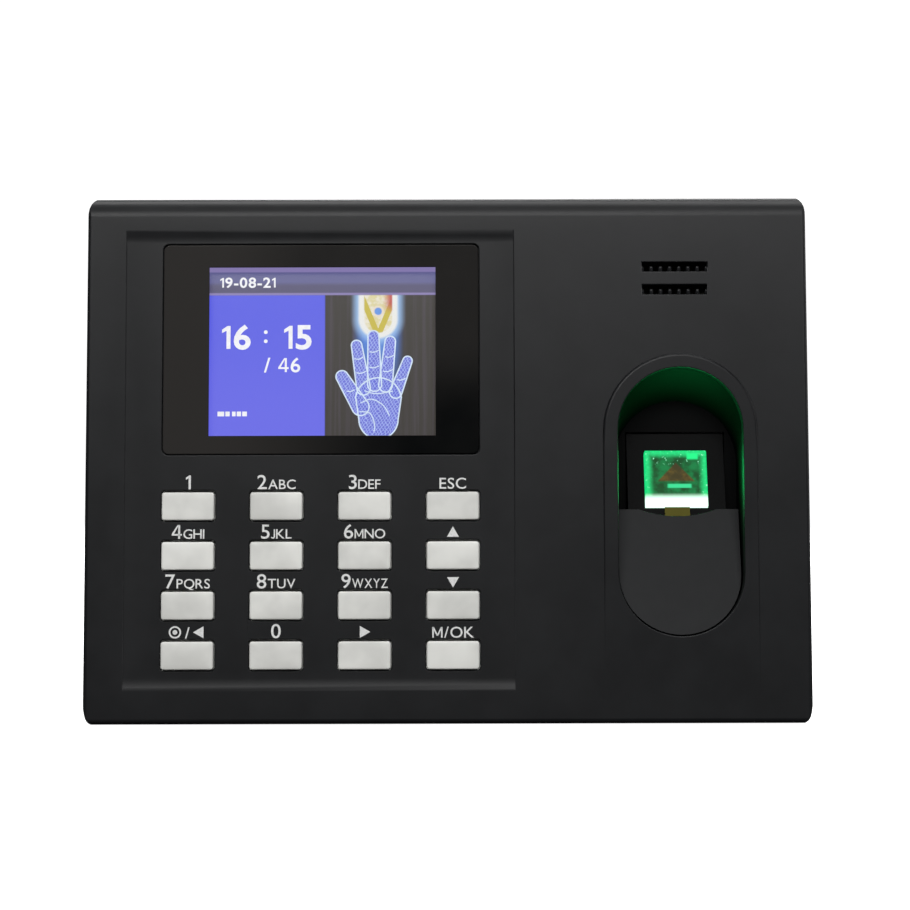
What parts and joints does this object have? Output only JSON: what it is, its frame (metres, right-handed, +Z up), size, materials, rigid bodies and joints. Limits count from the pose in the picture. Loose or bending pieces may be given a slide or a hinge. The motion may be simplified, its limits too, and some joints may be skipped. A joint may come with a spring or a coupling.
{
  "type": "fingerprint scanner terminal",
  "caption": "Wall-hung fingerprint terminal with a sloping front, colour screen, keypad, lit optical prism in an arched niche, speaker slots and a steel wall plate.",
  "frame": {"origin": "centre of the wall plate's rear face, on the wall", "axes": "+X to the viewer's right, +Y into the wall, +Z up; the front faces -Y"},
  "size_m": [0.183, 0.0369, 0.1332],
  "materials": {
    "case_black": "fine spark-eroded texture, satin charcoal ABS",
    "niche_black": "smooth black ABS",
    "rest_grey": "fine matte charcoal ABS",
    "key_grey": "light grey moulded key, fine matte",
    "lens_black": "glossy acrylic, black printed border on the back",
    "tape_black": "foam tape",
    "display_glass": "lit picture behind glass",
    "backlight_white": "moulded light box",
    "plate_steel": "zinc plated sheet, bent",
    "bright_steel": "nickel plated",
    "bracket_steel": "plain sheet",
    "screw_steel": "zinc plated",
    "film_amber": "polyimide film",
    "film_white": "white flat film lead",
    "silicone_grey": "moulded silicone",
    "board_green": "solder mask on glass epoxy",
    "detector_amber": "plated contact",
    "prism_green": "optical glass lit from below",
    "led_white": "moulded lamp bodies",
    "chip_black": "moulded epoxy",
    "can_aluminium": "sleeve and can",
    "nylon_cream": "nylon",
    "cone_paper": "pressed paper cone",
    "wire_red": "PVC insulation",
    "block_green": "polyamide"
  },
  "bodies": {
    "wall_bracket": {"wall_plate": "plate_steel"},
    "terminal": {"front_cover": "case_black", "rear_cover": "case_black", "screen_lens": "lens_black", "lens_tape": "tape_black", "lcd_bezel": "bright_steel", "lcd_glass": "display_glass", "lcd_backlight": "backlight_white", "lcd_bracket": "bracket_steel", "lcd_flex": "film_amber", "keypad_mat": "silicone_grey", "keypad_pcb": "board_green", "keypad_ribbon": "film_white", "niche_liner": "niche_black", "finger_rest": "rest_grey", "finger_detector": "detector_amber", "sensor_prism": "prism_green", "sensor_housing": "niche_black", "sensor_leds": "led_white", "sensor_camera": "chip_black", "sensor_pcb": "board_green", "sensor_cable": "film_white", "speaker_frame": "bracket_steel", "speaker_cone": "cone_paper", "speaker_magnet": "bright_steel", "lead_wires": "wire_red", "main_pcb": "board_green", "processor_chips": "chip_black", "capacitors": "can_aluminium", "board_connectors": "nylon_cream", "coin_cell": "bright_steel", "coin_cell_holder": "chip_black", "rj45_jack": "bright_steel", "dc_jack": "chip_black", "terminal_block": "block_green", "usb_socket": "bright_steel", "usb_pcb": "board_green", "reset_switch": "chip_black", "tamper_switch": "chip_black", "case_screws": "screw_steel", "board_screws": "screw_steel", "security_screw": "screw_steel"},
    "key_1": {"key_1": "key_grey"},
    "key_2": {"key_2": "key_grey"},
    "key_3": {"key_3": "key_grey"},
    "key_esc": {"key_esc": "key_grey"},
    "key_4": {"key_4": "key_grey"},
    "key_5": {"key_5": "key_grey"},
    "key_6": {"key_6": "key_grey"},
    "key_up": {"key_up": "key_grey"},
    "key_7": {"key_7": "key_grey"},
    "key_8": {"key_8": "key_grey"},
    "key_9": {"key_9": "key_grey"},
    "key_down": {"key_down": "key_grey"},
    "key_left_power": {"key_left_power": "key_grey"},
    "key_0": {"key_0": "key_grey"},
    "key_right": {"key_right": "key_grey"},
    "key_menu_ok": {"key_menu_ok": "key_grey"},
    "reset_stem": {"reset_button": "nylon_cream"},
    "tamper_pin": {"tamper_plunger": "nylon_cream"}
  },
  "joints": [
    {"name": "lift_off", "type": "slide", "parent": "wall_bracket", "child": "terminal", "axis": [0, 0, 1], "range_m": [0, 0.006]},
    {"name": "press_key_1", "type": "slide", "parent": "terminal", "child": "key_1", "axis": [0, 0.9966, -0.0823], "range_m": [0, 0.0008], "stiffness_N_per_m": 1200, "deforming": ["keypad_mat"]},
    {"name": "press_key_2", "type": "slide", "parent": "terminal", "child": "key_2", "axis": [0, 0.9966, -0.0823], "range_m": [0, 0.0008], "stiffness_N_per_m": 1200, "deforming": ["keypad_mat"]},
    {"name": "press_key_3", "type": "slide", "parent": "terminal", "child": "key_3", "axis": [0, 0.9966, -0.0823], "range_m": [0, 0.0008], "stiffness_N_per_m": 1200, "deforming": ["keypad_mat"]},
    {"name": "press_key_esc", "type": "slide", "parent": "terminal", "child": "key_esc", "axis": [0, 0.9966, -0.0823], "range_m": [0, 0.0008], "stiffness_N_per_m": 1200, "deforming": ["keypad_mat"]},
    {"name": "press_key_4", "type": "slide", "parent": "terminal", "child": "key_4", "axis": [0, 0.9966, -0.0823], "range_m": [0, 0.0008], "stiffness_N_per_m": 1200, "deforming": ["keypad_mat"]},
    {"name": "press_key_5", "type": "slide", "parent": "terminal", "child": "key_5", "axis": [0, 0.9966, -0.0823], "range_m": [0, 0.0008], "stiffness_N_per_m": 1200, "deforming": ["keypad_mat"]},
    {"name": "press_key_6", "type": "slide", "parent": "terminal", "child": "key_6", "axis": [0, 0.9966, -0.0823], "range_m": [0, 0.0008], "stiffness_N_per_m": 1200, "deforming": ["keypad_mat"]},
    {"name": "press_key_up", "type": "slide", "parent": "terminal", "child": "key_up", "axis": [0, 0.9966, -0.0823], "range_m": [0, 0.0008], "stiffness_N_per_m": 1200, "deforming": ["keypad_mat"]},
    {"name": "press_key_7", "type": "slide", "parent": "terminal", "child": "key_7", "axis": [0, 0.9966, -0.0823], "range_m": [0, 0.0008], "stiffness_N_per_m": 1200, "deforming": ["keypad_mat"]},
    {"name": "press_key_8", "type": "slide", "parent": "terminal", "child": "key_8", "axis": [0, 0.9966, -0.0823], "range_m": [0, 0.0008], "stiffness_N_per_m": 1200, "deforming": ["keypad_mat"]},
    {"name": "press_key_9", "type": "slide", "parent": "terminal", "child": "key_9", "axis": [0, 0.9966, -0.0823], "range_m": [0, 0.0008], "stiffness_N_per_m": 1200, "deforming": ["keypad_mat"]},
    {"name": "press_key_down", "type": "slide", "parent": "terminal", "child": "key_down", "axis": [0, 0.9966, -0.0823], "range_m": [0, 0.0008], "stiffness_N_per_m": 1200, "deforming": ["keypad_mat"]},
    {"name": "press_key_left_power", "type": "slide", "parent": "terminal", "child": "key_left_power", "axis": [0, 0.9966, -0.0823], "range_m": [0, 0.0008], "stiffness_N_per_m": 1200, "deforming": ["keypad_mat"]},
    {"name": "press_key_0", "type": "slide", "parent": "terminal", "child": "key_0", "axis": [0, 0.9966, -0.0823], "range_m": [0, 0.0008], "stiffness_N_per_m": 1200, "deforming": ["keypad_mat"]},
    {"name": "press_key_right", "type": "slide", "parent": "terminal", "child": "key_right", "axis": [0, 0.9966, -0.0823], "range_m": [0, 0.0008], "stiffness_N_per_m": 1200, "deforming": ["keypad_mat"]},
    {"name": "press_key_menu_ok", "type": "slide", "parent": "terminal", "child": "key_menu_ok", "axis": [0, 0.9966, -0.0823], "range_m": [0, 0.0008], "stiffness_N_per_m": 1200, "deforming": ["keypad_mat"]},
    {"name": "press_reset", "type": "slide", "parent": "terminal", "child": "reset_stem", "axis": [0, 0, 1], "range_m": [0, 0.0003], "stiffness_N_per_m": 800},
    {"name": "tamper_release", "type": "slide", "parent": "terminal", "child": "tamper_pin", "axis": [0, 1, 0], "range_m": [0, 0.0015]}
  ],
  "couplings": [
    {"joint": "tamper_release", "follows": "lift_off", "ratio": 0.25}
  ]
}
